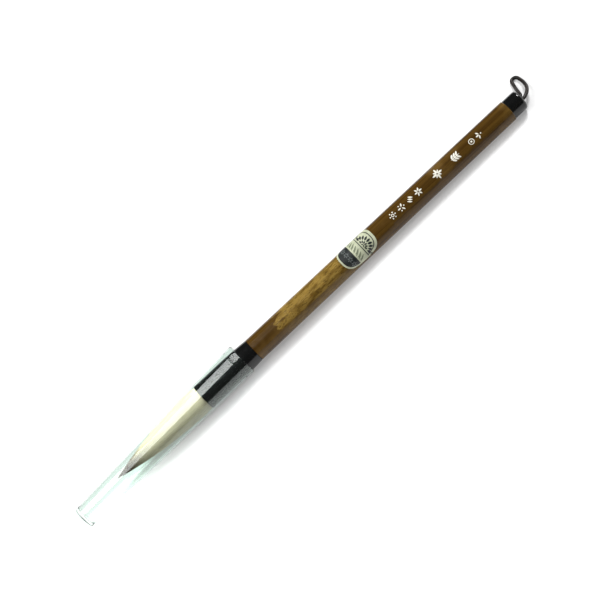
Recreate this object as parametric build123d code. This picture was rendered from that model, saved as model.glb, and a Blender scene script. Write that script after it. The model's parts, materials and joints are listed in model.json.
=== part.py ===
"""A bamboo calligraphy brush lying on a table, in its clear cap.

The brush is drawn along its own axis, X. Distances along it run from the joint of the ferrule and
the handle, positive towards the end cap. It then leans a little, because it rests on the cap at
one end and on the edge of the handle at the other, and the cap lies along its own tapered side.
"""

from build123d import *
import math
import os

# Handle, a single hollow internode of bamboo
handle_length = 164.5
handle_front_radius = 6.05
handle_back_radius = 5.5
handle_bore_radius = 2.9
handle_edge = 0.25
front_socket_radius = 4.2
front_socket_depth = 14.0
back_socket_radius = 4.0
back_socket_depth = 10.0

# Ferrule, which holds the hair
ferrule_length = 32.5
ferrule_joint_radius = 6.05
ferrule_radius = 6.75
flare_length = 17.0
ferrule_edge = 0.2
tenon_gap = 0.05
ferrule_tenon_length = 12.0
hair_socket_depth = 22.0
hair_socket_mouth_radius = 6.35
hair_socket_floor_radius = 5.8
glue_thickness = 2.4

# Hair, in three layers that are bound together at the root
hair_gap = 0.05
coat_outline = [(-35.5, 6.5), (-42.3, 6.35), (-51.7, 5.75), (-61.1, 5.0), (-70.5, 3.6), (-80.0, 1.85)]
core_outline = [(-42.0, 4.85), (-52.0, 4.25), (-61.0, 3.5), (-70.5, 2.4), (-80.0, 1.5), (-84.5, 0.85)]
point_outline = [(-60.0, 1.35), (-75.0, 1.1), (-84.0, 0.62)]
coat_mouth_radius = 6.25
core_root_radius = 4.6
core_swell = 0.3  # how much wider it is at the ferrule's mouth
point_root_radius = 1.3
point_swell = 0.1
hair_tip = -87.9
hair_tip_radius = 0.12
binding_turns = 6
binding_thread_radius = 0.3
binding_pitch = 0.52
binding_start = -14.2

# End cap, with the hole for the hanging loop
end_cap_length = 8.2
end_cap_radius = 5.2
end_cap_round = 1.6
end_wall = 2.4
cord_hole_radius = 2.0
cord_hole_round = 0.6
knot_chamber_radius = 3.2
end_tenon_length = 9.6
edge_window = 0.01  # either side of the end face, to pick its edges

# Hanging loop and its knot
cord_radius = 0.9
corner_share = 0.45  # of the shorter run, that a corner's arc may take
leg_offset = 0.95
leg_start = -2.6
knot_core_radius = 2.05
knot_turn_radius = 1.8
knot_turn_tilt = 18.0
knot_turn_shift = 0.8
knot_length = 4.6
knot_tail_length = 3.4
# From the middle of the hole's mouth: x out of the brush, y back across the table, z up
loop_route = [
    (leg_start, leg_offset, 0.03),
    (1.05, leg_offset, -0.05),
    (1.8, 5.0, -1.1),
    (2.7, 9.2, -3.1),
    (3.6, 12.6, -4.5),
    (4.6, 16.4, -4.5),
    (7.6, 16.0, -4.5),
    (8.0, 12.2, -4.5),
    (7.6, 8.2, -3.7),
    (6.4, 4.2, -2.2),
    (4.1, 1.0, -0.9),
    (0.8, -0.97, -0.05),
    (leg_start, -leg_offset, 0.03),
]

# Clear cap
cap_length = 106.2
cap_rim_radius = 8.2
cap_end_radius = 5.65
cap_wall = 0.45
cap_end_wall = 1.9
cap_end_round = 0.8
cap_overlap = 25.9
cap_groove_from_rim = 4.2
cap_groove_radius = 0.45
cap_groove_depth = 0.18
cap_swing = 1.0  # degrees about Z that the cap hangs out of line with the brush

# Oval label, wrapped over the handle
label_middle = 67.6
label_length = 20.2
label_turn_up = 88.0  # degrees that it wraps towards the top, and towards the front
label_turn_down = 74.0
label_fullness = 2.6  # exponent of its rounded outline, 2 for an ellipse
label_thickness = 0.12
label_gap = 0.01
label_points = 24
label_direction = 66.0  # degrees up from the front

# Ornaments cut into the handle and filled with white
mark_direction = 64.0
mark_depth = 0.25
mark_recess = 0.03
mark_reach = 5.0  # along the handle, either side of an ornament's middle
pocket_height = 1.0  # that a pocket's cutter stands over the surface
mark_places = [146.0, 141.0, 130.5, 119.0, 106.8, 101.5, 96.0, 90.5]
short_leaf = (1.9, 0.75)  # length and width
long_leaf = (2.6, 0.95)
stem = (5.6, 0.55)
leaf_stand_off = 0.25  # from the point that the leaves of a spray share
fern_spacing = 1.35
fern_spread = 52.0  # degrees between a fern's stem and its leaves
dot_radius = 0.34
dot_gap = 0.9  # from a spray's point to the dot that faces it
outer_dots = 1.55  # radius of a ring of dots
mark_ring = 1.5
small_ring = 0.8
ring_width = 0.35
ring_middle = 0.5


def ring_round(points):
    """A solid turned round the X axis from an outline of (distance, radius) points."""
    face = make_face(Polyline(*[(x, r) for x, r in points], close=True))
    return revolve(Plane.XY * face, Axis.X)


def handle_radius(along):
    """The handle's outside radius at a distance along the brush."""
    share = along / handle_length
    return handle_front_radius + share * (handle_back_radius - handle_front_radius)


def handle_skin(start, end, inner, outer):
    """A thin tapered sleeve that follows the handle, between two offsets from its surface."""
    return ring_round(
        [
            (start, handle_radius(start) + inner),
            (end, handle_radius(end) + inner),
            (end, handle_radius(end) + outer),
            (start, handle_radius(start) + outer),
        ]
    )


def facing_plane(along, direction):
    """A plane on the handle's axis, seen from a direction given in degrees up from the front."""
    up = math.radians(direction)
    return Plane(origin=(along, 0, 0), x_dir=(1, 0, 0), z_dir=(0, -math.cos(up), math.sin(up)))


def make_handle(pockets):
    body = ring_round(
        [
            (0, front_socket_radius),
            (0, handle_front_radius - handle_edge),
            (handle_edge, handle_front_radius),
            (handle_length - handle_edge, handle_back_radius),
            (handle_length, handle_back_radius - handle_edge),
            (handle_length, back_socket_radius),
            (handle_length - back_socket_depth, back_socket_radius),
            (handle_length - back_socket_depth, handle_bore_radius),
            (front_socket_depth, handle_bore_radius),
            (front_socket_depth, front_socket_radius),
        ]
    )
    for pocket in pockets:
        body -= pocket
    return body


def make_ferrule():
    mouth = -ferrule_length
    floor = mouth + hair_socket_depth
    tenon_radius = front_socket_radius - tenon_gap
    flare_arc_radius = (flare_length**2 + (ferrule_radius - ferrule_joint_radius) ** 2) / (
        2 * (ferrule_radius - ferrule_joint_radius)
    )
    half_way = flare_length / 2
    half_way_radius = ferrule_radius - half_way**2 / (2 * flare_arc_radius)
    flare = ThreePointArc(
        (0, ferrule_joint_radius), (-half_way, half_way_radius), (-flare_length, ferrule_radius)
    )
    rest = Polyline(
        (-flare_length, ferrule_radius),
        (mouth + ferrule_edge, ferrule_radius),
        (mouth, ferrule_radius - ferrule_edge),
        (mouth, hair_socket_mouth_radius),
        (floor, hair_socket_floor_radius),
        (floor, 0),
        (ferrule_tenon_length, 0),
        (ferrule_tenon_length, tenon_radius),
        (0, tenon_radius),
        (0, ferrule_joint_radius),
    )
    return revolve(make_face(flare + rest), Axis.X)


def make_glue_bed():
    floor = -ferrule_length + hair_socket_depth
    radius = hair_socket_floor_radius
    return ring_round([(floor, 0), (floor, radius), (root_end(), radius), (root_end(), 0)])


def root_end():
    """Where the roots of the hair stand on the glue."""
    return -ferrule_length + hair_socket_depth - glue_thickness


def binding_end():
    return binding_start - binding_turns * binding_pitch


def hair_solid(root_radius, mouth_radius, outline, end_radius, end):
    """A layer of hair: straight in the socket, then a curve through its outline to its end."""
    mouth = -ferrule_length
    curve = Spline((mouth, mouth_radius), *outline, (end, end_radius))
    rest = Polyline(
        (end, end_radius), (end, 0), (root_end(), 0), (root_end(), root_radius), (mouth, mouth_radius)
    )
    return revolve(make_face(curve + rest), Axis.X)


def make_hair():
    neck = core_root_radius + 2 * binding_thread_radius
    coat_end, coat_end_radius = coat_outline[-1]
    coat = hair_solid(neck, coat_mouth_radius, coat_outline[:-1], coat_end_radius, coat_end)
    core_mouth = core_root_radius + core_swell
    core_end, core_end_radius = core_outline[-1]
    core = hair_solid(core_root_radius, core_mouth, core_outline[:-1], core_end_radius, core_end)
    point_mouth = point_root_radius + point_swell
    point = hair_solid(point_root_radius, point_mouth, point_outline, hair_tip_radius, hair_tip)
    core_hollow = hair_solid(
        core_root_radius + hair_gap,
        core_mouth + hair_gap,
        [(x, r + hair_gap) for x, r in core_outline[:-1]],
        core_end_radius + hair_gap,
        core_end,
    )
    point_hollow = hair_solid(
        point_root_radius + hair_gap,
        point_mouth + hair_gap,
        [(x, r + hair_gap) for x, r in point_outline],
        hair_tip_radius + hair_gap,
        hair_tip,
    )
    return coat - core_hollow, core - point_hollow, point


def make_binding_groove():
    """The waist that the thread pulls into the roots of the coat."""
    inner = core_root_radius + 2 * binding_thread_radius
    start = binding_start + binding_pitch
    end = binding_end()
    outer = hair_socket_mouth_radius
    return ring_round([(start, inner), (start, outer), (end, outer), (end, inner)])


def make_binding():
    """Thread wound round the roots of the coat: turns that lie side by side, in one piece."""
    radius = core_root_radius + 3 * binding_thread_radius
    turns = Torus(radius, binding_thread_radius)
    turns = Pos(binding_start, 0, 0) * Rot(0, 90, 0) * turns
    first = turns
    for turn in range(1, binding_turns):
        turns += Pos(-turn * binding_pitch, 0, 0) * first
    return turns


def circles_at(body, place):
    """The round edges of a body at a distance along X, smallest first."""
    circles = body.edges().filter_by(GeomType.CIRCLE)
    return circles.filter_by_position(Axis.X, place - edge_window, place + edge_window).sort_by(SortBy.RADIUS)


def make_end_cap():
    start = handle_length
    end = start + end_cap_length
    tenon_end = start - end_tenon_length
    tenon_radius = back_socket_radius - tenon_gap
    outline = Polyline(
        (tenon_end, knot_chamber_radius),
        (tenon_end, tenon_radius),
        (start, tenon_radius),
        (start, end_cap_radius),
        (end, end_cap_radius),
        (end, cord_hole_radius),
        (end - end_wall, cord_hole_radius),
        (end - end_wall, knot_chamber_radius),
        close=True,
    )
    body = revolve(make_face(outline), Axis.X)
    body = fillet(circles_at(body, end)[-1], end_cap_round)
    return fillet(circles_at(body, end)[0], cord_hole_round)


def corner_radii(points):
    """The largest arc for each corner: a share of its shorter run, over the tangent of half the turn."""
    radii = []
    for before, corner, after in zip(points, points[1:], points[2:]):
        run_in = Vector(*corner) - Vector(*before)
        run_out = Vector(*after) - Vector(*corner)
        half_turn = math.radians(run_in.get_angle(run_out)) / 2
        radii.append(corner_share * min(run_in.length, run_out.length) / math.tan(half_turn))
    return radii


def make_loop():
    radii = corner_radii(loop_route)
    path = FilletPolyline(*loop_route, radius=radii)
    start = Plane(origin=path @ 0, z_dir=path % 0)
    tube = sweep(start * Circle(cord_radius), path=path)
    section = math.pi * cord_radius**2
    print("loop radii", [round(r, 2) for r in radii])
    print("loop length", round(path.length, 2))
    print("tube volume over section x length", round(tube.volume / section / path.length, 4))
    return tube


def make_knot():
    """The knot inside the end cap: two crossing turns of cord round the legs, and two short tails."""
    knot = Rot(0, 90, 0) * Cylinder(knot_core_radius, knot_length)
    turn = Rot(0, 90, 0) * Torus(knot_turn_radius, cord_radius)
    for side in (1, -1):
        knot += Pos(side * knot_turn_shift, 0, 0) * Rot(0, 0, side * knot_turn_tilt) * turn
    tail = Rot(0, 90, 0) * Cylinder(cord_radius, knot_tail_length)
    for side in (1, -1):
        knot += Pos(-(knot_length + knot_tail_length) / 2, side * leg_offset, 0) * tail
    face = handle_length + end_cap_length + leg_start
    return Pos(face - knot_length / 2, 0, 0) * knot


def leaf(length, width):
    """A pointed leaf from the origin along X, between two arcs."""
    edges = ThreePointArc((0, 0), (length / 2, width / 2), (length, 0))
    edges += ThreePointArc((length, 0), (length / 2, -width / 2), (0, 0))
    return make_face(edges)


def spray(count, size, first_turn, step_turn):
    """Leaves that fan out from one point."""
    shape = Sketch()
    for number in range(count):
        shape += Rot(0, 0, first_turn + number * step_turn) * Pos(leaf_stand_off, 0, 0) * leaf(*size)
    return shape


def fern():
    """A stem along X with three pairs of leaves."""
    shape = Pos(-stem[0] / 2, 0, 0) * leaf(*stem)
    for number in range(3):
        place = Pos((number - 1.5) * fern_spacing, 0, 0)
        for side in (1, -1):
            shape += place * Rot(0, 0, side * fern_spread) * leaf(*long_leaf)
    return shape


def star():
    """Four long leaves, and four short ones between them."""
    return spray(4, long_leaf, 0, 90) + spray(4, short_leaf, 45, 90)


def waves():
    """Three leaves that lie side by side, slanted."""
    shape = Sketch()
    for side in (-1, 0, 1):
        middle = Pos(side * short_leaf[1], side * short_leaf[1], 0)
        shape += middle * Rot(0, 0, -45) * Pos(-long_leaf[0] / 2, 0, 0) * leaf(long_leaf[0], short_leaf[1])
    return shape


def ring_of_dots(count, radius):
    shape = Sketch()
    for spot in PolarLocations(radius, count):
        shape += spot * Circle(dot_radius)
    return shape


def ring(radius, width):
    return Circle(radius) - Circle(radius - width)


def mark_shapes():
    """Eight plain ornaments of leaves, rings and dots, in their order along the handle."""
    return [
        spray(3, short_leaf, 120, 60) + Pos(dot_gap, 0, 0) * Circle(dot_radius),
        ring(mark_ring, ring_width) + Circle(ring_middle),
        fern(),
        star(),
        spray(6, short_leaf, 0, 60),
        waves(),
        spray(3, short_leaf, 180, 120) + ring_of_dots(3, outer_dots),
        ring(small_ring, ring_width) + ring_of_dots(6, outer_dots),
    ]


def make_marks():
    """The white fillings, and the pockets that they lie in."""
    fillings = []
    pockets = []
    for along, outline in zip(mark_places, mark_shapes()):
        plane = facing_plane(along, mark_direction)
        block = extrude(plane * outline, amount=2 * handle_front_radius)
        skin = handle_skin(along - mark_reach, along + mark_reach, -mark_depth, -mark_recess)
        pocket_skin = handle_skin(along - mark_reach, along + mark_reach, -mark_depth, pocket_height)
        fillings.append(block & skin)
        pockets.append(block & pocket_skin)
    return fillings, pockets


def rounded(value):
    """A sine or cosine bent so that the outline drawn with it is fuller than an ellipse."""
    return math.copysign(abs(value) ** (2 / label_fullness), value)


def make_label():
    """A rounded label wrapped over the handle, cut out along its outline as seen face on."""
    start = label_middle - label_length
    end = label_middle + label_length
    skin = handle_skin(start, end, label_gap, label_gap + label_thickness)
    plane = facing_plane(label_middle, label_direction)
    radius = handle_radius(label_middle)
    outline = []
    for step in range(label_points):
        turn = 2 * math.pi * (step + 0.5) / label_points
        reach = label_turn_up if turn < math.pi else label_turn_down
        wrap = math.radians(reach) * rounded(math.sin(turn))
        outline.append((label_length / 2 * rounded(math.cos(turn)), radius * math.sin(wrap)))
    face = make_face(Spline(*outline, periodic=True))
    return extrude(plane * face, amount=2 * handle_front_radius) & skin


def make_cap():
    """The cap, with the middle of its rim at the origin and its closed end towards -X."""
    slope = (cap_rim_radius - cap_end_radius) / cap_length
    inner_end = -cap_length + cap_end_wall
    inner_end_radius = cap_rim_radius - cap_wall + slope * inner_end
    outside = ring_round(
        [(0, 0), (0, cap_rim_radius), (-cap_length, cap_end_radius), (-cap_length, 0)]
    )
    corner = outside.edges().filter_by(GeomType.CIRCLE).sort_by(Axis.X)[0]
    outside = fillet(corner, cap_end_round)
    inside = ring_round(
        [(0, 0), (0, cap_rim_radius - cap_wall), (inner_end, inner_end_radius), (inner_end, 0)]
    )
    bottom = inside.edges().filter_by(GeomType.CIRCLE).sort_by(Axis.X)[0]
    inside = fillet(bottom, cap_end_round)
    groove_radius = cap_rim_radius - slope * cap_groove_from_rim + cap_groove_radius - cap_groove_depth
    groove = Pos(-cap_groove_from_rim, 0, 0) * Rot(0, 90, 0) * Torus(groove_radius, cap_groove_radius)
    return outside - inside - groove


def place_on_table():
    """The places of the brush and the cap, before the whole is centred."""
    taper = math.asin((cap_rim_radius - cap_end_radius) / cap_length)
    mouth_height = cap_rim_radius * math.cos(taper) - cap_overlap * math.sin(taper)
    lean = math.asin((mouth_height - handle_back_radius) / (handle_length + ferrule_length))
    brush = Pos(0, 0, mouth_height) * Rot(0, math.degrees(lean), 0) * Pos(ferrule_length, 0, 0)
    cap = Pos(0, 0, mouth_height) * Rot(0, 0, cap_swing) * Rot(0, -math.degrees(taper), 0)
    return brush, cap * Pos(cap_overlap, 0, 0)


def main():
    brush_place, cap_place = place_on_table()
    fillings, pockets = make_marks()
    coat, core, point = make_hair()
    coat -= make_binding_groove()
    brush_parts = {
        "bamboo_handle": make_handle(pockets),
        "ferrule": make_ferrule(),
        "hair_glue_bed": make_glue_bed(),
        "root_binding": make_binding(),
        "outer_hair": coat,
        "core_hair": core,
        "point_hair": point,
        "end_cap": make_end_cap(),
        "loop_knot": make_knot(),
        "oval_label": make_label(),
    }
    for number, filling in enumerate(fillings, start=1):
        brush_parts[f"white_mark_{number}"] = filling
    parts = {name: brush_place * solid for name, solid in brush_parts.items()}
    parts["clear_cap"] = cap_place * make_cap()

    measured = Compound([solid for name, solid in parts.items() if name != "loop_knot"])
    box = measured.bounding_box()
    centring = Pos(-box.center().X, -box.center().Y, 0)
    parts = {name: centring * solid for name, solid in parts.items()}
    brush_place = centring * brush_place
    cap_place = centring * cap_place
    exit_place = brush_place * Pos(handle_length + end_cap_length, 0, 0)
    parts["hanging_loop"] = Pos(*exit_place.position) * make_loop()

    for name, place in (("ferrule joint", brush_place), ("loop exit", exit_place), ("cap rim", cap_place)):
        axis = Plane(place).x_dir
        print(name, [round(v, 4) for v in place.position], "axis", [round(v, 6) for v in axis])

    os.makedirs("parts", exist_ok=True)
    for name, solid in parts.items():
        export_step(solid, f"parts/{name}.step")


main()
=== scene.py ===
import json
import math

import bpy
import numpy as np
from mathutils import Matrix, Vector


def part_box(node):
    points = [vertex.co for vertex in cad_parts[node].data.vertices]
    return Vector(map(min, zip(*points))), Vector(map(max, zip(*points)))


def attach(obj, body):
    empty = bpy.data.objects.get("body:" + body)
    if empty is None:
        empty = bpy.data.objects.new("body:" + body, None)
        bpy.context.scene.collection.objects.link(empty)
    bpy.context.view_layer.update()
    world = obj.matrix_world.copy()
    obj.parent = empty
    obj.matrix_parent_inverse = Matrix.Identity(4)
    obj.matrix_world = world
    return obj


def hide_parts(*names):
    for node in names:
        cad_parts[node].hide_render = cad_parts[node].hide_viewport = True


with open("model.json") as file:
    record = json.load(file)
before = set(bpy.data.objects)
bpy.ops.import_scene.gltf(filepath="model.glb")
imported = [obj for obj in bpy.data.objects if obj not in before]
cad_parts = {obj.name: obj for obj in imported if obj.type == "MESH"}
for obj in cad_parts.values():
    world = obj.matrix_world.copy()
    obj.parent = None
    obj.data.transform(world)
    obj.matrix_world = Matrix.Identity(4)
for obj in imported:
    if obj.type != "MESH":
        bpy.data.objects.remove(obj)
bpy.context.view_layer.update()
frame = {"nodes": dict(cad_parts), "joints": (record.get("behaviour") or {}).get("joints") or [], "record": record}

record = frame["record"]
nodes = frame["nodes"]
mm = 0.001
print("frame loaded:", len(nodes), "CAD nodes")


# where the brush and the cap lie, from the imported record

def unit(v):
    v = np.asarray(v, float)
    return v / np.linalg.norm(v)


def axesAlong(direction):
    # three square axes, the first along direction, the second level
    ex = unit(direction)
    ey = unit(np.cross((0, 0, 1), ex))
    return ex, ey, np.cross(ex, ey)


joints = {joint["name"]: joint for joint in frame["joints"]}
mounts = {mount["name"]: mount for mount in record["mounts"]}
loopExit = np.array(joints["loop_swivel"]["pos_m"], float)
brushAxes = axesAlong(joints["loop_swivel"]["axis"])
handleLow = np.array(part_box("bamboo_handle")[0])
brushLength = (loopExit[0] - handleLow[0]) / brushAxes[0][0]  # handle and end cap
brushPlace = (loopExit - brushAxes[0] * brushLength, brushAxes)
capFoot = np.array(mounts["cap_foot"]["pos_m"], float)
capPlace = (capFoot, axesAlong(-np.array(mounts["cap_foot"]["axis"], float)))
handle = {"frontRadius": 6.05 * mm, "backRadius": 5.5 * mm, "length": 164.5 * mm}


# the camera

camera = {
    "elevation": 50.0,  # degrees above the table
    "roll": 43.65,  # degrees that the brush climbs to the right in the picture
    "distance": 0.846,
    "lens": 108.0,
    "aimAlong": 32.0 * mm,  # from the ferrule's joint
    "aimAbove": 2.3 * mm,  # up the picture from the brush's axis
}


def makeCamera():
    up = math.radians(camera["elevation"])
    roll = math.radians(camera["roll"])
    back = Vector((0, -math.cos(up), math.sin(up)))
    level = Vector((1, 0, 0))
    top = Vector((0, math.sin(up), math.cos(up)))
    right = level * math.cos(roll) - top * math.sin(roll)
    above = level * math.sin(roll) + top * math.cos(roll)
    aim = Vector(brushPlace[0] + brushAxes[0] * camera["aimAlong"]) + top * camera["aimAbove"]
    data = bpy.data.cameras.new("camera")
    data.lens = camera["lens"]
    data.sensor_width = 36
    data.clip_end = 20
    obj = bpy.data.objects.new("camera", data)
    bpy.context.scene.collection.objects.link(obj)
    turned = Matrix((right, above, back)).transposed().to_4x4()
    obj.matrix_world = Matrix.Translation(aim + back * camera["distance"]) @ turned
    bpy.context.scene.camera = obj


makeCamera()


# helpers that make meshes

def gridQuads(rows, columns, wrap):
    # quads between neighbouring rows and columns; wrap joins the last column to the first
    last = columns if wrap else columns - 1
    i, j = np.meshgrid(np.arange(rows - 1), np.arange(last), indexing="ij")
    k = (j + 1) % columns
    here, beyond = i * columns, (i + 1) * columns
    return np.stack([here + j, here + k, beyond + k, beyond + j], -1).reshape(-1, 4)


def addMesh(name, points, faces, body, material, uv=None, tone=None, sharp=40):
    # faces is a list of whole arrays, of quads or triangles
    mesh = bpy.data.meshes.new(name)
    polygons = [face for block in faces for face in block.tolist()]
    mesh.from_pydata(points.tolist(), [], polygons)
    mesh.shade_smooth()
    mesh.set_sharp_from_angle(angle=math.radians(sharp))
    corners = np.zeros(len(mesh.loops), np.int32)
    mesh.loops.foreach_get("vertex_index", corners)
    if uv is not None:
        layer = mesh.uv_layers.new(name="surface")
        layer.data.foreach_set("uv", np.asarray(uv, np.float32)[corners].ravel())
    if tone is not None:
        layer = mesh.attributes.new("tone", "FLOAT", "POINT")
        layer.data.foreach_set("value", np.asarray(tone, np.float32))
    mesh.materials.append(material)
    obj = bpy.data.objects.new(name, mesh)
    bpy.context.scene.collection.objects.link(obj)
    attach(obj, body)
    return obj


def inPlace(place, along, y, z):
    # own coordinates of the brush or the cap to the row frame
    origin, (ex, ey, ez) = place
    return origin + along[..., None] * ex + y[..., None] * ey + z[..., None] * ez


def turnedSurface(place, along, radius, columns):
    # a profile (along, radius) turned round the axis; radius may be one value per row or a whole grid
    angle = np.linspace(0, 2 * np.pi, columns, endpoint=False)
    radius = radius if np.ndim(radius) == 2 else np.repeat(radius[:, None], columns, axis=1)
    x = np.repeat(along[:, None], columns, axis=1)
    return inPlace(place, x, radius * np.cos(angle), radius * np.sin(angle)).reshape(-1, 3)


def closedByPoles(points, rows, columns, place, firstAlong, lastAlong):
    # adds a middle point at both ends and the triangles to it, so that the surface is shut
    poles = inPlace(place, np.array([firstAlong, lastAlong]), np.zeros(2), np.zeros(2))
    j = np.arange(columns)
    k = (j + 1) % columns
    count = rows * columns
    low = np.stack([np.full(columns, count), k, j], -1)
    high = np.stack([np.full(columns, count + 1), count - columns + j, count - columns + k], -1)
    return np.vstack([points, poles]), [gridQuads(rows, columns, True), low, high]


def smoothThrough(knots, x):
    # a curve through (place, value) knots: cubic Hermite pieces with central-difference slopes
    kx, ky = np.array(knots, float).T
    slope = np.gradient(ky, kx)
    i = np.clip(np.searchsorted(kx, x) - 1, 0, len(kx) - 2)
    width = kx[i + 1] - kx[i]
    t = (x - kx[i]) / width
    a, b = ky[i], ky[i + 1]
    m, n = slope[i] * width, slope[i + 1] * width
    fromStart = (2 * t**3 - 3 * t**2 + 1) * a + (t**3 - 2 * t**2 + t) * m
    return fromStart + (3 * t**2 - 2 * t**3) * b + (t**3 - t**2) * n


# helpers that make materials

def newMaterial(name):
    material = bpy.data.materials.new(name)
    material.use_nodes = True
    tree = material.node_tree
    shader = tree.nodes["Principled BSDF"]
    return material, tree, shader


def node(tree, kind, inputs=None, **settings):
    made = tree.nodes.new(kind)
    for name, value in settings.items():
        setattr(made, name, value)
    for name, value in (inputs or {}).items():
        socket = made.inputs[name]
        if isinstance(value, bpy.types.NodeSocket):
            tree.links.new(value, socket)
        else:
            socket.default_value = value
    return made


def math2(tree, operation, a, b=0.0, clamp=False):
    return node(tree, "ShaderNodeMath", {0: a, 1: b}, operation=operation, use_clamp=clamp).outputs[0]


def ramp(tree, factor, stops):
    made = node(tree, "ShaderNodeValToRGB", {"Fac": factor})
    elements = made.color_ramp.elements
    while len(elements) < len(stops):
        elements.new(0.5)
    for element, (position, colour) in zip(elements, stops):
        element.position = position
        element.color = (*colour, 1)
    return made.outputs["Color"]


def step(tree, value, low, high):
    # 0 below low, 1 above high, smooth between
    made = node(tree, "ShaderNodeMapRange", {"Value": value, "From Min": low, "From Max": high})
    made.interpolation_type = "SMOOTHSTEP"
    return made.outputs["Result"]


def mixColour(tree, factor, a, b, blend="MIX"):
    made = node(tree, "ShaderNodeMix", data_type="RGBA", blend_type=blend, clamp_factor=True)
    for socket, value in ((made.inputs[0], factor), (made.inputs[6], a), (made.inputs[7], b)):
        if isinstance(value, bpy.types.NodeSocket):
            tree.links.new(value, socket)
        elif isinstance(value, tuple):
            socket.default_value = (*value, 1)
        else:
            socket.default_value = value
    return made.outputs[2]


def srgb(r, g, b):
    # screen colour, 0 to 255, to linear
    c = np.array((r, g, b)) / 255
    return tuple(float(v) for v in np.where(c <= 0.04045, c / 12.92, ((c + 0.055) / 1.055) ** 2.4))


def objectPoint(tree, place=None, scale=(1, 1, 1)):
    # Object coordinates, turned and moved to a piece's own axis, then scaled
    point = node(tree, "ShaderNodeTexCoord").outputs["Object"]
    if place is not None:
        origin, (ex, ey, ez) = place
        turn = Matrix((ex, ey, ez))
        moved = turn @ Vector(origin)
        turned = {"Vector": point, "Location": -moved, "Rotation": turn.to_euler()}
        point = node(tree, "ShaderNodeMapping", turned).outputs[0]
    return node(tree, "ShaderNodeMapping", {"Vector": point, "Scale": scale}).outputs[0]


def makeGroup(name, inputs, outputs):
    group = bpy.data.node_groups.new(name, "ShaderNodeTree")
    for label, kind, value in inputs:
        socket = group.interface.new_socket(label, in_out="INPUT", socket_type=kind)
        if value is not None:
            socket.default_value = value
    for label, kind in outputs:
        group.interface.new_socket(label, in_out="OUTPUT", socket_type=kind)
    return group, group.nodes.new("NodeGroupInput"), group.nodes.new("NodeGroupOutput")


def makeFibreGroup():
    # fibres that run along X: two layers of noise, stretched along the fibre, and a slow drift of tone
    group, given, out = makeGroup(
        "fibres",
        [
            ("Point", "NodeSocketVector", None),
            ("Across", "NodeSocketFloat", 2000.0),
            ("Along", "NodeSocketFloat", 40.0),
            ("Drift", "NodeSocketFloat", 60.0),
        ],
        [("Fine", "NodeSocketFloat"), ("Broad", "NodeSocketFloat"), ("Drift", "NodeSocketFloat")],
    )
    split = node(group, "ShaderNodeSeparateXYZ", {0: given.outputs["Point"]})
    for label, share in (("Fine", 1.0), ("Broad", 0.28)):
        stretched = {}
        for axis, amount in enumerate(("Along", "Across", "Across")):
            scale = math2(group, "MULTIPLY", given.outputs[amount], share)
            stretched[axis] = math2(group, "MULTIPLY", split.outputs[axis], scale)
        point = node(group, "ShaderNodeCombineXYZ", stretched).outputs[0]
        look = {"Vector": point, "Scale": 1.0, "Detail": 4.0, "Roughness": 0.6}
        noise = node(group, "ShaderNodeTexNoise", look)
        group.links.new(noise.outputs["Fac"], out.inputs[label])
    look = {"Vector": given.outputs["Point"], "Scale": given.outputs["Drift"], "Detail": 3.0}
    slow = node(group, "ShaderNodeTexNoise", look)
    group.links.new(slow.outputs["Fac"], out.inputs["Drift"])
    return group


def makeWearGroup():
    # fine scratches, smears of handling and specks of dust
    group, given, out = makeGroup(
        "fineWear",
        [("Point", "NodeSocketVector", None), ("Scale", "NodeSocketFloat", 1.0)],
        [("Scratches", "NodeSocketFloat"), ("Smears", "NodeSocketFloat"), ("Specks", "NodeSocketFloat")],
    )
    point = node(group, "ShaderNodeVectorMath", {0: given.outputs["Point"]}, operation="SCALE")
    group.links.new(given.outputs["Scale"], point.inputs["Scale"])
    point = point.outputs[0]
    stretched = node(group, "ShaderNodeMapping", {"Vector": point, "Scale": (90, 2600, 2600)}).outputs[0]
    lines = node(group, "ShaderNodeTexNoise", {"Vector": stretched, "Scale": 1.0, "Detail": 2.0})
    group.links.new(step(group, lines.outputs["Fac"], 0.62, 0.72), out.inputs["Scratches"])
    look = {"Vector": point, "Scale": 130.0, "Detail": 5.0, "Roughness": 0.65}
    smear = node(group, "ShaderNodeTexNoise", look)
    group.links.new(smear.outputs["Fac"], out.inputs["Smears"])
    cells = node(group, "ShaderNodeTexVoronoi", {"Vector": point, "Scale": 900.0})
    group.links.new(step(group, cells.outputs["Distance"], 0.13, 0.07), out.inputs["Specks"])
    return group


fibres = makeFibreGroup()
fineWear = makeWearGroup()


def useGroup(tree, group, **inputs):
    made = node(tree, "ShaderNodeGroup")
    made.node_tree = group
    for name, value in inputs.items():
        if isinstance(value, bpy.types.NodeSocket):
            tree.links.new(value, made.inputs[name])
        else:
            made.inputs[name].default_value = value
    return made.outputs


def bumped(tree, shader, height, distance, strength=1.0):
    made = node(tree, "ShaderNodeBump", {"Height": height, "Distance": distance, "Strength": strength})
    tree.links.new(made.outputs[0], shader.inputs["Normal"])


def roughBetween(tree, shader, value, low, high):
    # roughness from a mask: low and high are (value, roughness)
    stops = [(place, (rough,) * 3) for place, rough in (low, high)]
    tree.links.new(ramp(tree, value, stops), shader.inputs["Roughness"])


def part(tree, value, share):
    # a share of a mask
    return math2(tree, "MULTIPLY", value, share)


# the hanging loop

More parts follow.
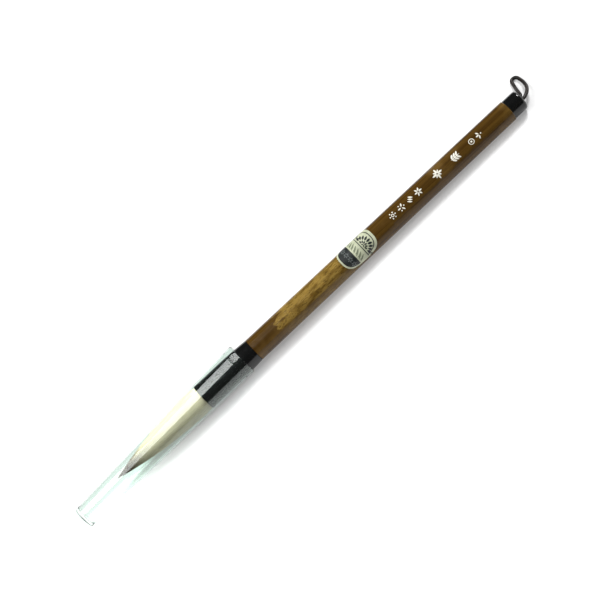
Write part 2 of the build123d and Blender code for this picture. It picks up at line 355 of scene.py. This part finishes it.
loop = {
    "diameter": 1.8 * mm,
    "length": 45.0 * mm,
    # from the middle of the hole's mouth: x out of the brush, y back across the table, z up
    "route": [
        (-2.6, 0.95, 0.03),
        (1.05, 0.95, -0.05),
        (1.8, 5.0, -1.1),
        (2.7, 9.2, -3.1),
        (3.6, 12.6, -4.5),
        (4.6, 16.4, -4.5),
        (7.6, 16.0, -4.5),
        (8.0, 12.2, -4.5),
        (7.6, 8.2, -3.7),
        (6.4, 4.2, -2.2),
        (4.1, 1.0, -0.9),
        (0.8, -0.97, -0.05),
        (-2.6, -0.95, 0.03),
    ],
}


def makeCordMaterial():
    # dark brown waxed cord: a fine grain with no braid pattern, rubbed lighter on patches
    material, tree, shader = newMaterial("waxedCord")
    grain = useGroup(tree, fibres, Point=objectPoint(tree), Across=2600.0, Along=900.0, Drift=320.0)
    rubbed = step(tree, grain["Drift"], 0.45, 0.68)
    base = mixColour(tree, grain["Fine"], srgb(12, 9, 8), srgb(24, 19, 16))
    colour = mixColour(tree, part(tree, rubbed, 0.4), base, srgb(54, 45, 40))
    tree.links.new(colour, shader.inputs["Base Color"])
    roughBetween(tree, shader, grain["Fine"], (0.3, 0.34), (0.75, 0.55))
    shader.inputs["Specular IOR Level"].default_value = 0.3
    bumped(tree, shader, grain["Fine"], 0.00012)
    return material


def makeLoop():
    curve = bpy.data.curves.new("hangingCord", "CURVE")
    curve.dimensions = "3D"
    spline = curve.splines.new("NURBS")
    points = loopExit + np.array(loop["route"]) * mm
    spline.points.add(len(points) - 1)
    spline.points.foreach_set("co", np.hstack([points, np.ones((len(points), 1))]).ravel())
    spline.order_u = 3
    spline.use_endpoint_u = True
    spline.resolution_u = 12
    curve.bevel_depth = loop["diameter"] / 2
    curve.bevel_resolution = 6
    curve.use_fill_caps = True
    curve.materials.append(makeCordMaterial())
    cord = bpy.data.objects.new("hangingCord", curve)
    bpy.context.scene.collection.objects.link(cord)
    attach(cord, "loop")
    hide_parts("hanging_loop")
    nodes["loop_knot"].data.materials.clear()
    nodes["loop_knot"].data.materials.append(curve.materials[0])
    print("loop made")


makeLoop()


# the table and the lamps

studio = {
    "floorColour": (0.62, 0.62, 0.62),
    "floorGlow": 0.3,  # the table is a faint light box, so that shadows on it stay light
    "worldStrength": 0.06,
    # a wide softbox over the hair, which shows in the clear cap and the ferrule
    "overheadPower": 7.0,
    "overheadSize": (0.55, 0.84),
    "overheadPlace": (-0.36, 0.06, 0.8),
    # a smaller one behind, past the loop's end, which leaves the front in shade
    "sidePower": 21.0,
    "sideSize": (0.4, 0.4),
    "sidePlace": (0.95, 0.4, 1.0),
    "tableHalf": 6.0,
    "tableRoughness": 0.7,
}


def areaLight(name, place, size, power, target=(0, 0, 0)):
    data = bpy.data.lights.new(name, "AREA")
    data.shape = "RECTANGLE"
    data.size, data.size_y = size
    data.energy = power
    obj = bpy.data.objects.new(name, data)
    bpy.context.scene.collection.objects.link(obj)
    obj.location = place
    obj.rotation_euler = (Vector(target) - Vector(place)).to_track_quat("-Z", "Y").to_euler()


def makeStudio():
    side = studio["tableHalf"]
    mesh = bpy.data.meshes.new("floor")
    corners = [(-side, -side, 0), (side, -side, 0), (side, side, 0), (-side, side, 0)]
    mesh.from_pydata(corners, [], [(0, 1, 2, 3)])
    material, _, shader = newMaterial("paleTable")
    shader.inputs["Base Color"].default_value = (*studio["floorColour"], 1)
    shader.inputs["Emission Color"].default_value = (1, 1, 1, 1)
    shader.inputs["Emission Strength"].default_value = studio["floorGlow"]
    shader.inputs["Roughness"].default_value = studio["tableRoughness"]
    mesh.materials.append(material)
    floor = bpy.data.objects.new("floor", mesh)
    bpy.context.scene.collection.objects.link(floor)
    world = bpy.data.worlds.new("studio")
    world.use_nodes = True
    background = world.node_tree.nodes["Background"]
    background.inputs["Color"].default_value = (1, 1, 1, 1)
    background.inputs["Strength"].default_value = studio["worldStrength"]
    bpy.context.scene.world = world
    areaLight(
        "overhead", studio["overheadPlace"], studio["overheadSize"], studio["overheadPower"],
        target=(studio["overheadPlace"][0], 0, 0),
    )
    areaLight("side", studio["sidePlace"], studio["sideSize"], studio["sidePower"])
    bpy.context.scene.view_settings.view_transform = "Standard"
    print("studio made")


makeStudio()


# the handle and its white marks

bamboo = {
    "goldenStart": 19.0 * mm,
    "goldenEnd": 62.0 * mm,
    "golden": srgb(150, 122, 58),
    "goldenDark": srgb(108, 82, 30),
    "brown": srgb(94, 68, 24),
    "brownDark": srgb(64, 42, 10),
    "speck": srgb(52, 34, 14),
    "rust": srgb(112, 58, 24),
    "pale": srgb(132, 104, 58),
    "raggedEnds": 30.0 * mm,  # how far the golden stretch's ends wander
    "startBlur": 0.9 * mm,
    "endBlur": 6.0 * mm,
    "goldenLitTop": (3.0 * mm, 6.5 * mm),  # heights over the axis between which the golden skin rises to full strength: painted light on the handle's top, painted shade below
    "worn": (162.8 * mm, 165.5 * mm),  # the rubbed edge by the end cap
}


def stretchedNoise(tree, place, scale, detail=4.0):
    look = {"Vector": objectPoint(tree, place, scale), "Scale": 1.0, "Detail": detail}
    return node(tree, "ShaderNodeTexNoise", look).outputs["Fac"]


def makeBambooMaterial():
    # lacquered bamboo: fibres along the handle, brown stain, and a golden mottled stretch with
    # ragged ends where the skin shows, with small dark and rusty specks drawn out lengthwise;
    # the golden stretch is full on the handle's top as painted light, and dimmed below as painted shade
    material, tree, shader = newMaterial("lacquerBamboo")
    point = objectPoint(tree, brushPlace)
    split = node(tree, "ShaderNodeSeparateXYZ", {0: point})
    along = split.outputs[0]
    grain = useGroup(tree, fibres, Point=point, Across=1900.0, Along=32.0, Drift=70.0)
    ragged = stretchedNoise(tree, brushPlace, (110, 330, 330), 5.0)
    wander = math2(tree, "SUBTRACT", ragged, 0.5)
    shifted = math2(tree, "ADD", along, part(tree, wander, bamboo["raggedEnds"]))
    start, end = bamboo["goldenStart"], bamboo["goldenEnd"]
    golden = math2(
        tree,
        "MULTIPLY",
        step(tree, shifted, start - bamboo["startBlur"], start + bamboo["startBlur"]),
        step(tree, shifted, end + bamboo["endBlur"], end - bamboo["endBlur"]),
    )
    # painted light and shade: the golden skin shows in full only high on the handle and is dimmed to 0.4 on its
    # lower side
    onTop = math2(tree, "ADD", split.outputs[2], part(tree, ragged, 0.003))
    paintedTopLight = math2(tree, "ADD", part(tree, step(tree, onTop, *bamboo["goldenLitTop"]), 0.6), 0.4)
    golden = math2(tree, "MULTIPLY", golden, paintedTopLight)
    patch = stretchedNoise(tree, brushPlace, (150, 620, 620), 5.0)
    skin = mixColour(tree, step(tree, patch, 0.36, 0.62), bamboo["goldenDark"], bamboo["golden"])
    lines = stretchedNoise(tree, brushPlace, (420, 2100, 2100), 3.0)
    skin = mixColour(tree, part(tree, step(tree, lines, 0.57, 0.66), 0.6), skin, bamboo["speck"])
    spots = stretchedNoise(tree, brushPlace, (900, 1500, 1500), 2.0)
    skin = mixColour(tree, part(tree, step(tree, spots, 0.64, 0.7), 0.7), skin, bamboo["speck"])
    skin = mixColour(tree, part(tree, step(tree, spots, 0.34, 0.28), 0.6), skin, bamboo["rust"])
    stain = mixColour(tree, step(tree, grain["Broad"], 0.3, 0.7), bamboo["brownDark"], bamboo["brown"])
    faded = part(tree, step(tree, grain["Drift"], 0.48, 0.7), 0.35)
    stain = mixColour(tree, faded, stain, bamboo["pale"])
    worn = step(tree, math2(tree, "ADD", along, part(tree, ragged, 0.004)), *bamboo["worn"])
    stain = mixColour(tree, part(tree, worn, 0.08), stain, bamboo["golden"])
    colour = mixColour(tree, golden, stain, skin)
    darkened = ramp(tree, grain["Fine"], [(0.3, (0.45,) * 3), (0.7, (1.0,) * 3)])
    colour = mixColour(tree, 0.5, colour, darkened, "MULTIPLY")
    tree.links.new(colour, shader.inputs["Base Color"])
    roughBetween(tree, shader, grain["Broad"], (0.3, 0.13), (0.7, 0.23))
    shader.inputs["Specular IOR Level"].default_value = 0.25
    bumped(tree, shader, grain["Fine"], 0.00006)
    return material


def paintNode(name, material):
    mesh = nodes[name].data
    mesh.materials.clear()
    mesh.materials.append(material)


paintNode("bamboo_handle", makeBambooMaterial())


def makeFillingMaterial():
    # white pigment paste, slightly chalky and uneven
    material, tree, shader = newMaterial("whiteFilling")
    grain = useGroup(tree, fineWear, Point=objectPoint(tree), Scale=2.0)
    colour = mixColour(tree, grain["Smears"], srgb(214, 212, 196), srgb(244, 243, 232))
    tree.links.new(colour, shader.inputs["Base Color"])
    shader.inputs["Roughness"].default_value = 0.6
    bumped(tree, shader, grain["Smears"], 0.00006)
    return material


whiteFilling = makeFillingMaterial()
for number in range(1, 9):
    paintNode(f"white_mark_{number}", whiteFilling)
print("handle and marks painted")


# the ferrule and the end cap

def makeHornMaterial():
    # glossy black horn: a trace of brown streaks, fine polishing lines and a little dust
    material, tree, shader = newMaterial("blackHorn")
    point = objectPoint(tree, brushPlace)
    streak = useGroup(tree, fibres, Point=point, Across=700.0, Along=60.0, Drift=80.0)
    wear = useGroup(tree, fineWear, Point=point, Scale=1.0)
    base = mixColour(tree, step(tree, streak["Broad"], 0.5, 0.75), srgb(11, 12, 12), srgb(30, 27, 24))
    colour = mixColour(tree, part(tree, wear["Specks"], 0.08), base, srgb(150, 150, 145))
    tree.links.new(colour, shader.inputs["Base Color"])
    rough = math2(tree, "ADD", part(tree, wear["Smears"], 0.16), part(tree, wear["Scratches"], 0.08))
    tree.links.new(math2(tree, "ADD", rough, 0.08), shader.inputs["Roughness"])
    bumped(tree, shader, wear["Scratches"], 0.00001)
    return material


blackHorn = makeHornMaterial()
paintNode("ferrule", blackHorn)
paintNode("end_cap", blackHorn)


# the tuft of hair

hair = {
    # radius of the whole tuft along the brush, in mm from the ferrule's joint
    "outline": [(-36.0, 6.5), (-42.3, 6.35), (-51.7, 5.75), (-61.1, 5.0), (-70.5, 3.6), (-80.0, 1.85),
                (-84.6, 0.85), (-88.0, 0.05)],
    "mouth": (-32.5, 6.2),
    "root": (-14.5, 5.4),
    "creases": 90,
    "creaseDepth": 0.07,
    "coat": {"strands": 1500, "ends": (-82.0, -66.0), "lift": 0.02, "thickness": 0.075},
    "core": {"strands": 260, "ends": (-86.4, -80.5), "lift": -0.05, "thickness": 0.06},
    "strandStart": -31.5,  # inside the ferrule's mouth
    "point": {"strands": 70, "ends": (-88.0, -86.2), "lift": -0.03, "thickness": 0.045},
}


def tuftRadius(x):
    # a smooth curve through the root, the mouth and the outline, never thinner than a hair
    knots = sorted([hair["root"], hair["mouth"], *hair["outline"]])
    return np.maximum(smoothThrough(knots, x), 0.03)


def makeHairMaterial(name, pale, dark, tipStart, tipEnd):
    # fine sized hair: streaks along the hair, a tone of its own for each strand, and a darker end
    material, tree, shader = newMaterial(name)
    point = objectPoint(tree, brushPlace)
    along = node(tree, "ShaderNodeSeparateXYZ", {0: point}).outputs[0]
    grain = useGroup(tree, fibres, Point=point, Across=3200.0, Along=45.0, Drift=110.0)
    tone = node(tree, "ShaderNodeAttribute", attribute_name="tone").outputs["Fac"]
    mixed = math2(tree, "ADD", part(tree, grain["Fine"], 0.55), part(tree, tone, 0.45))
    body = mixColour(tree, step(tree, mixed, 0.25, 0.7), dark, pale)
    ragged = math2(tree, "MULTIPLY", math2(tree, "SUBTRACT", grain["Broad"], 0.5), 0.012)
    browned = step(tree, math2(tree, "ADD", along, ragged), tipStart * mm, tipEnd * mm)
    colour = mixColour(tree, browned, body, mixColour(tree, mixed, srgb(56, 40, 26), srgb(112, 90, 62)))
    tree.links.new(colour, shader.inputs["Base Color"])
    roughBetween(tree, shader, grain["Fine"], (0.3, 0.38), (0.7, 0.58))
    shader.inputs["Sheen Weight"].default_value = 0.1
    bumped(tree, shader, grain["Fine"], 0.00015)
    return material


def makeTuftBody(name, start, end, shrink, material, slot, replaced, rows=150, columns=300):
    # the tuft's outline turned round the axis, with creases between locks of hair that wander a
    # little: a sum of a few waves round the tuft, whose phase drifts along it
    x = np.linspace(start, end, rows)
    angle = np.linspace(0, 2 * np.pi, columns, endpoint=False)
    radius = np.maximum(tuftRadius(x) * shrink[0] - shrink[1], 0.02)[:, None]
    drift = 0.35 * np.sin(x / 9.0)[:, None]
    creases = sum(
        np.sin(angle * count + drift * count * share + phase) * share
        for count, share, phase in ((hair["creases"], 0.3, 0.0), (37, 0.35, 1.3), (61, 0.35, 2.1))
    )
    fade = np.clip(radius / 3.0, 0, 1)
    radius = (radius - hair["creaseDepth"] * fade * (0.5 + 0.5 * creases)) * mm
    points = turnedSurface(brushPlace, x * mm, radius, columns)
    points, faces = closedByPoles(points, rows, columns, brushPlace, start * mm, end * mm)
    obj = addMesh(name, points, faces, "brush", material, tone=np.full(len(points), 0.5), sharp=80)
    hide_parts(replaced)


def makeStrands(name, look, material, seed, rings=11):
    # each strand is a thin three-sided tube that follows the tuft's outline from inside the
    # ferrule to its own end, turning round the tuft a little as it goes
    draw = np.random.default_rng(seed)
    count = look["strands"]
    angle0 = draw.uniform(0, 2 * np.pi, (count, 1))
    end = look["ends"][0] + (look["ends"][1] - look["ends"][0]) * draw.random((count, 1)) ** 1.8
    share = np.linspace(0, 1, rings)[None, :] ** 0.85
    x = hair["strandStart"] + (end - hair["strandStart"]) * share
    twist = draw.normal(0, 0.05, (count, 1)) * share + draw.normal(0, 0.012, (count, 1)) * np.sin(share * 9)
    angle = angle0 + twist
    centre = np.maximum(tuftRadius(x) + look["lift"] + draw.normal(0, 0.03, (count, 1)) * share, 0.02)
    thick = look["thickness"] * draw.uniform(0.7, 1.2, (count, 1)) * (1 - 0.75 * share**3)
    side = np.arange(3) * 2 * np.pi / 3
    out = centre[..., None] + thick[..., None] * np.cos(side)
    across = thick[..., None] * np.sin(side)
    y = out * np.cos(angle)[..., None] - across * np.sin(angle)[..., None]
    z = out * np.sin(angle)[..., None] + across * np.cos(angle)[..., None]
    points = inPlace(brushPlace, np.repeat(x[..., None], 3, axis=2) * mm, y * mm, z * mm).reshape(-1, 3)
    i, r, s = np.meshgrid(np.arange(count), np.arange(rings - 1), np.arange(3), indexing="ij")
    base = i * rings * 3 + r * 3
    nextSide = (s + 1) % 3
    quads = np.stack([base + s, base + 3 + s, base + 3 + nextSide, base + nextSide], -1).reshape(-1, 4)
    first = np.arange(count) * rings * 3
    last = first + (rings - 1) * 3
    ends = [np.stack([first, first + 1, first + 2], -1), np.stack([last + 2, last + 1, last], -1)]
    tone = np.repeat(draw.random(count), rings * 3)
    addMesh(name, points, [quads, *ends], "brush", material, tone=tone, sharp=180)


def makeTuft():
    white = makeHairMaterial("whiteHair", srgb(240, 228, 200), srgb(190, 178, 148), -66, -82)
    brown = makeHairMaterial("brownHair", srgb(164, 138, 104), srgb(112, 88, 60), -76, -84)
    dark = makeHairMaterial("darkHair", srgb(84, 60, 40), srgb(50, 34, 22), -80, -85)
    makeTuftBody("outerHair", -80.5, -13.2, (0.985, 0.03), white, "white_hair", "outer_hair")
    coreGrid = {"rows": 50, "columns": 120}
    pointGrid = {"rows": 40, "columns": 60}
    makeTuftBody("coreHair", -85.6, -60.0, (0.93, 0.03), brown, "brown_hair", "core_hair", **coreGrid)
    makeTuftBody("pointHair", -87.9, -78.0, (0.8, 0.0), dark, "dark_hair", "point_hair", **pointGrid)
    makeStrands("outerStrands", hair["coat"], white, 5)
    makeStrands("coreStrands", hair["core"], brown, 6)
    makeStrands("pointStrands", hair["point"], dark, 7)
    print("tuft made")


makeTuft()


# the clear cap

cap = {
    "length": 106.2,
    "rimRadius": 8.19,
    "endRadius": 5.64,
    "wall": 0.45,
    "floor": 1.9,
    "round": 0.8,
    "grooveFromRim": 4.2,
    "grooveDepth": 0.18,
    "grooveWidth": 0.34,
    "tint": (0.82, 0.89, 0.855),
    "shadowTint": (0.96, 0.99, 0.975),
}


def makeClearMaterial():
    # clear moulded plastic with a breath of green; lamps shine through it
    material, tree, shader = newMaterial("clearPlastic")
    shader.inputs["Base Color"].default_value = (*cap["tint"], 1)
    shader.inputs["Transmission Weight"].default_value = 1.0
    shader.inputs["IOR"].default_value = 1.49
    wear = useGroup(tree, fineWear, Point=objectPoint(tree, capPlace), Scale=1.0)
    rough = math2(tree, "ADD", part(tree, wear["Smears"], 0.05), part(tree, wear["Scratches"], 0.05))
    tree.links.new(math2(tree, "ADD", rough, 0.01), shader.inputs["Roughness"])
    through = node(tree, "ShaderNodeBsdfTransparent", {"Color": (*cap["shadowTint"], 1)})
    shadow = node(tree, "ShaderNodeLightPath").outputs["Is Shadow Ray"]
    mixed = node(tree, "ShaderNodeMixShader", {0: shadow, 1: shader.outputs[0], 2: through.outputs[0]})
    tree.links.new(mixed.outputs[0], tree.nodes["Material Output"].inputs["Surface"])
    return material


def makeCap():
    # profile of the wall, from the middle of the closed end round the outside to the rim and back
    # inside: straight tapered sides, round corners, a rounded lip, and a shallow groove near the rim
    slope = (cap["rimRadius"] - cap["endRadius"]) / cap["length"]
    turn = np.linspace(0, np.pi / 2, 9)
    corner = cap["round"]
    outerSide = np.concatenate([np.linspace(corner, 96, 60), np.linspace(96.3, cap["length"] - 0.25, 60)])
    groove = np.exp(-(((outerSide - cap["length"] + cap["grooveFromRim"]) / cap["grooveWidth"]) ** 2))
    innerSide = np.linspace(cap["length"] - 0.25, cap["floor"] + corner, 60)
    lip = np.linspace(0, np.pi, 9)[1:-1]
    middle = cap["rimRadius"] - cap["wall"] / 2
    innerEnd = cap["endRadius"] + slope * cap["floor"] - cap["wall"]
    along = np.concatenate([
        [0, 0],
        corner * (1 - np.cos(turn[:-1])),
        outerSide,
        cap["length"] - 0.25 + 0.25 * np.sin(lip),
        innerSide,
        cap["floor"] + corner * (1 - np.sin(turn[1:])),
        [cap["floor"], cap["floor"]],
    ])
    radius = np.concatenate([
        [1.5, 3.4],
        cap["endRadius"] - corner + corner * np.sin(turn[:-1]),
        cap["endRadius"] + slope * outerSide - cap["grooveDepth"] * groove,
        middle + cap["wall"] / 2 * np.cos(lip),
        cap["endRadius"] + slope * innerSide - cap["wall"],
        innerEnd - corner + corner * np.cos(turn[1:]),
        [3.0, 1.2],
    ])
    columns = 180
    points = turnedSurface(capPlace, along * mm, radius * mm, columns)
    points, faces = closedByPoles(points, len(along), columns, capPlace, 0.0, cap["floor"] * mm)
    shell = addMesh("clearCap", points, faces, "cap", makeClearMaterial(), sharp=50)
    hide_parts("clear_cap")
    print("cap made")


makeCap()


# the label

label = {
    "middle": 67.6,
    "halfLength": 10.1,
    "halfWidth": (7.5, 8.9),  # round the handle, towards the front and towards the top
    "fullness": 2.6,  # exponent of the rounded outline, 2 for an ellipse
    "direction": 66.0,  # degrees up from the front
    "paper": (0.01, 0.13),  # heights over the handle
    "ink": (0.125, 0.142),
    "border": 0.8,
    "darkEdge": -3.0,
    "line": 2.1,
    "archInset": 1.5,
    "starRow": -5.7,  # where the row of stars lies along the label
    "seenMiddle": -0.8,  # where the ornament is centred, round the handle
}


def solidStrip(spread, heights):
    # rows of flat points, thickened: each row becomes a closed loop, along the top and back along
    # the bottom; the ends are shut
    rows, columns = spread.shape[:2]
    flat = np.concatenate([spread, spread[:, ::-1]], axis=1)
    height = np.repeat([heights[1], heights[0]], columns)[None, :] * np.ones((rows, 1))
    points = np.concatenate([flat, height[..., None]], -1)
    around = 2 * columns
    i = np.arange(columns - 1)
    first = np.stack([i, i + 1, around - 2 - i, around - 1 - i], -1)
    last = first[:, ::-1] + (rows - 1) * around
    sides = gridQuads(rows, around, True)[:, ::-1]
    return points.reshape(-1, 3), np.vstack([sides, first[:, ::-1], last[:, ::-1]])


def bandSolid(path, halfWidth, heights, columns):
    # a thin band that follows a flat path
    path = np.asarray(path, float)
    slope = np.gradient(path, axis=0)
    normal = np.stack([-slope[:, 1], slope[:, 0]], -1) / np.linalg.norm(slope, axis=1)[:, None]
    side = np.linspace(1, -1, columns)
    spread = path[:, None, :] + normal[:, None, :] * (halfWidth[:, None] * side)[..., None]
    return solidStrip(spread, heights)


def spanBand(x, low, high, heights, columns):
    # a thin patch between two edges, over a row of places along the handle
    share = np.linspace(1, 0, columns)
    y = low[:, None] + (high - low)[:, None] * share
    return solidStrip(np.stack([np.repeat(x[:, None], columns, axis=1), y], -1), heights)


def leafBand(x, y, degrees, length, width, heights):
    # a straight path whose half width is that of a sine hump, pointed at both ends
    t = (1 - np.cos(np.linspace(0, np.pi, 9))) / 2
    turn = math.radians(degrees)
    path = np.stack([x + length * t * math.cos(turn), y + length * t * math.sin(turn)], -1)
    return bandSolid(path, np.maximum(width / 2 * np.sin(np.pi * t) ** 0.8, 0.01), heights, 3)


def arcBand(x, y, radii, fromDegrees, toDegrees, width, heights, count=40):
    # a line of even width along part of an ellipse round (x, y)
    turn = np.radians(np.linspace(fromDegrees, toDegrees, count))
    path = np.stack([x + radii[0] * np.cos(turn), y + radii[1] * np.sin(turn)], -1)
    return bandSolid(path, np.full(count, width / 2), heights, 3)


def outlineHalf(x, inset):
    # half widths of the rounded outline at x, towards the front and the top:
    # b * (1 - |x / a| ^ n) ^ (1 / n)
    a = label["halfLength"] - inset
    share = np.maximum(1 - np.abs(x / a) ** label["fullness"], 0.0004) ** (1 / label["fullness"])
    return [(b - inset) * share for b in label["halfWidth"]]


def outlinePart(inset, start, end, heights, rows=60, columns=50):
    # the part of the rounded outline between two places along it
    t = (1 - np.cos(np.linspace(0, np.pi, rows))) / 2
    x = start + (end - start) * t
    front, top = outlineHalf(x, inset)
    return spanBand(x, -front, top, heights, columns)


def outlineArc(inset, start, width, heights, count=80):
    # a line along the rounded outline, from start round its far end and back
    a = label["halfLength"] - inset
    turn = np.linspace(0, np.pi, count)
    x = start + (a - start) * np.sin(turn)
    front, top = outlineHalf(np.minimum(x, a * 0.9999), inset)
    y = np.where(turn < np.pi / 2, -front, top)
    return bandSolid(np.stack([x, y], -1), np.full(count, width / 2), heights, 3)


def handleRadius(along):
    # a straight taper from the ferrule to the end cap, in mm
    share = along * mm / handle["length"]
    return (handle["frontRadius"] + share * (handle["backRadius"] - handle["frontRadius"])) / mm


def addPrint(name, bands, material):
    # flat shapes wrapped over the handle: x runs along it and y round it, up from the label's middle
    points = np.vstack([block for block, _ in bands])
    offsets = np.cumsum([0] + [len(block) for block, _ in bands[:-1]])
    faces = np.vstack([quads + offset for (_, quads), offset in zip(bands, offsets)])
    along = label["middle"] + points[:, 0]
    bare = handleRadius(along)
    radius = bare + points[:, 2]
    turn = math.radians(label["direction"]) + points[:, 1] / bare
    placed = inPlace(brushPlace, along * mm, -radius * np.cos(turn) * mm, radius * np.sin(turn) * mm)
    uv = points[:, :2] / (2 * label["halfLength"]) + 0.5
    print(name, len(faces), "faces")
    return addMesh(name, placed, [faces], "brush", material, uv=uv, sharp=30)


def makePaperMaterial(name, colour, shade, rough):
    # coated paper or ink on it: faint fibres, a little rubbed
    material, tree, shader = newMaterial(name)
    wear = useGroup(tree, fineWear, Point=objectPoint(tree, brushPlace), Scale=2.5)
    rubbed = mixColour(tree, step(tree, wear["Smears"], 0.35, 0.65), shade, colour)
    tree.links.new(rubbed, shader.inputs["Base Color"])
    roughness = math2(tree, "ADD", part(tree, wear["Smears"], 0.2), rough)
    tree.links.new(roughness, shader.inputs["Roughness"])
    bumped(tree, shader, wear["Smears"], 0.00003)
    return material


def makeLabel():
    paper = makePaperMaterial("labelPaper", srgb(198, 202, 174), srgb(176, 182, 154), 0.3)
    ink = makePaperMaterial("labelInk", srgb(38, 42, 41), srgb(24, 28, 28), 0.3)
    pale = makePaperMaterial("paleInk", srgb(122, 130, 106), srgb(106, 114, 92), 0.3)
    grey = makePaperMaterial("greyInk", srgb(112, 118, 116), srgb(94, 100, 99), 0.3)
    a = label["halfLength"]
    border = label["border"]
    heights = label["ink"]
    fine = (heights[0], heights[1] + 0.01)
    line = label["line"]
    middle = label["seenMiddle"]
    sheet = addPrint("labelPaper", [outlinePart(0, -a, a, label["paper"])], paper)
    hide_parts("oval_label")

    dark = [outlinePart(border, border - a, label["darkEdge"], heights, rows=40)]
    front, top = outlineHalf(line, border)
    across = np.linspace(-front, top, 40)
    dark.append(bandSolid(np.stack([np.full(40, line), across], -1), np.full(40, 0.22), heights, 3))
    dark.append(outlineArc(label["archInset"], line + 0.2, 0.45, heights))
    # a fan of leaves in the arch, in two rows, over a little sun
    for degrees in range(-80, 81, 20):
        turn = math.radians(degrees)
        x, y = line + 0.6 + 2.7 * math.cos(turn), middle + 3.1 * math.sin(turn)
        dark.append(leafBand(x, y, degrees, 2.4, 1.15, heights))
    for degrees in range(-70, 71, 28):
        turn = math.radians(degrees)
        x, y = line + 0.6 + 1.1 * math.cos(turn), middle + 1.25 * math.sin(turn)
        dark.append(leafBand(x, y, degrees, 1.6, 0.8, heights))
    dark.append(arcBand(line + 0.7, middle, (0.6, 0.75), -88, 88, 0.45, heights, 24))
    for side in (-1, 1):
        for place, degrees in ((4.1, 0), (5.2, 30), (6.2, 10)):
            dark.append(leafBand(line + 0.8, middle + side * place, side * degrees, 1.9, 0.55, heights))
    addPrint("labelInk", dark, ink)

    # pale leaves in pairs across the light band
    leaves = []
    for y in np.linspace(-5.6, 6.8, 8):
        leaves.append(leafBand(-2.5, y - 0.5, 34, 3.9, 0.85, heights))
        leaves.append(leafBand(-2.3, y + 0.5, 4, 2.0, 0.5, heights))
    addPrint("labelPaleInk", leaves, pale)

    # grey six-leaved stars on the dark band
    sprigs = []
    for y in np.linspace(-4.6, 3.8, 4):
        for degrees in range(0, 360, 60):
            turn = math.radians(degrees)
            x, up = label["starRow"] + 0.35 * math.cos(turn), y + 0.35 * math.sin(turn)
            sprigs.append(leafBand(x, up, degrees, 1.0, 0.5, fine))
    addPrint("labelGreyInk", sprigs, grey)
    print("label made")


makeLabel()


# the hidden thread and glue

thread = {"radius": 5.5, "thickness": 0.3, "start": -14.2, "pitch": 0.52, "turns": 6}


def makeThread():
    # waxed thread wound round the roots: a circle carried along a helix
    steps = thread["turns"] * 60
    turn = np.linspace(0, 2 * np.pi * thread["turns"], steps)
    x = thread["start"] + 0.2 - thread["pitch"] * turn / (2 * np.pi)
    side = np.linspace(0, 2 * np.pi, 10, endpoint=False)
    out = thread["radius"] + thread["thickness"] * np.cos(side)[None, :]
    along = x[:, None] + thread["thickness"] * np.sin(side)[None, :]
    y, z = out * np.cos(turn)[:, None], out * np.sin(turn)[:, None]
    points = inPlace(brushPlace, along * mm, y * mm, z * mm)
    material, tree, shader = newMaterial("waxedThread")
    grain = useGroup(tree, fibres, Point=objectPoint(tree), Across=3000.0, Along=3000.0, Drift=400.0)
    colour = mixColour(tree, grain["Fine"], srgb(196, 184, 150), srgb(232, 224, 198))
    tree.links.new(colour, shader.inputs["Base Color"])
    shader.inputs["Roughness"].default_value = 0.6
    bumped(tree, shader, grain["Fine"], 0.0001)
    i = np.arange(1, 9)
    ends = [np.stack([0 * i, i + 1, i], -1), np.stack([0 * i, i, i + 1], -1) + (steps - 1) * 10]
    faces = [gridQuads(steps, 10, True)[:, ::-1], *[block[:, ::-1] for block in ends]]
    coil = addMesh("rootThread", points.reshape(-1, 3), faces, "brush", material, sharp=60)
    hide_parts("root_binding")


def makeGlueMaterial():
    # amber glue, cloudy with tiny bubbles
    material, tree, shader = newMaterial("amberGlue")
    wear = useGroup(tree, fineWear, Point=objectPoint(tree), Scale=3.0)
    colour = mixColour(tree, wear["Smears"], srgb(134, 92, 34), srgb(196, 150, 76))
    colour = mixColour(tree, wear["Specks"], colour, srgb(230, 206, 150))
    tree.links.new(colour, shader.inputs["Base Color"])
    shader.inputs["Roughness"].default_value = 0.3
    bumped(tree, shader, wear["Smears"], 0.0001)
    return material


makeThread()
paintNode("hair_glue_bed", makeGlueMaterial())
print("thread and glue made")


bpy.context.view_layer.update()
